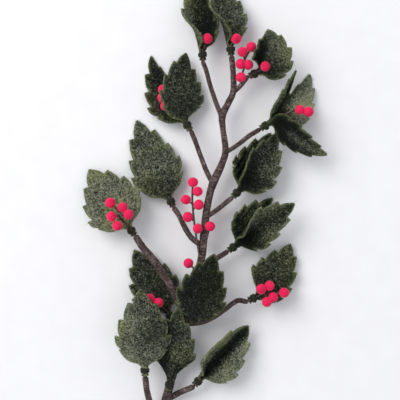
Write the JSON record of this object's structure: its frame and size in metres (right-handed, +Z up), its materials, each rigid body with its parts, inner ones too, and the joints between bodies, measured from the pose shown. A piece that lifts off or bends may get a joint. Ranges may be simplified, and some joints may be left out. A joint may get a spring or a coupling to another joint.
{
  "type": "felt holly sprig",
  "caption": "Wire-stemmed sprig of toothed wool-felt holly leaves with sprays of round red berries, lying flat; a decoration for wreaths, vases and tables",
  "frame": {"origin": "under the middle of the sprig, on the surface that it lies on", "axes": "+Y runs from the cut end of the stem to the tip leaves, +X to the right of it seen from above, +Z up from the surface"},
  "size_m": [0.1913, 0.3727, 0.0345],
  "materials": {
    "green_felt": "thick matted wool felt, dark olive green and mottled, with paler cut edges",
    "brown_tape": "matte brown wrapping wound round the wire, slightly ridged",
    "dark_thread": "dark green thread bound tightly round the leaf bases",
    "red_berry": "matte pinkish red balls of matted wool",
    "steel_wire": "plain drawn wire, bare only at the cut end"
  },
  "bodies": {
    "root": {"berries_a": "red_berry", "berries_b": "red_berry", "berries_c": "red_berry", "berries_d": "red_berry", "berries_e": "red_berry", "berries_i": "red_berry", "berries_j": "red_berry", "berries_k": "red_berry", "berries_left": "red_berry", "berries_n": "red_berry", "berries_right": "red_berry", "berries_top": "red_berry", "core_wire": "steel_wire", "leaf_a": "green_felt", "leaf_b": "green_felt", "leaf_c": "green_felt", "leaf_d_over": "green_felt", "leaf_d_under": "green_felt", "leaf_e_far": "green_felt", "leaf_e_left": "green_felt", "leaf_e_over": "green_felt", "leaf_f": "green_felt", "leaf_g_over": "green_felt", "leaf_g_under": "green_felt", "leaf_h_over": "green_felt", "leaf_h_under": "green_felt", "leaf_i": "green_felt", "leaf_j": "green_felt", "leaf_k": "green_felt", "leaf_l": "green_felt", "leaf_m": "green_felt", "leaf_n": "green_felt", "leaf_o": "green_felt", "stem_tape": "brown_tape", "tie_a": "dark_thread", "tie_b": "dark_thread", "tie_c": "dark_thread", "tie_d": "dark_thread", "tie_e": "dark_thread", "tie_f": "dark_thread", "tie_g": "dark_thread", "tie_h": "dark_thread", "tie_i": "dark_thread", "tie_j": "dark_thread", "tie_k": "dark_thread", "tie_l": "dark_thread", "tie_m": "dark_thread", "tie_n": "dark_thread", "tie_o": "dark_thread"}
  },
  "joints": []
}
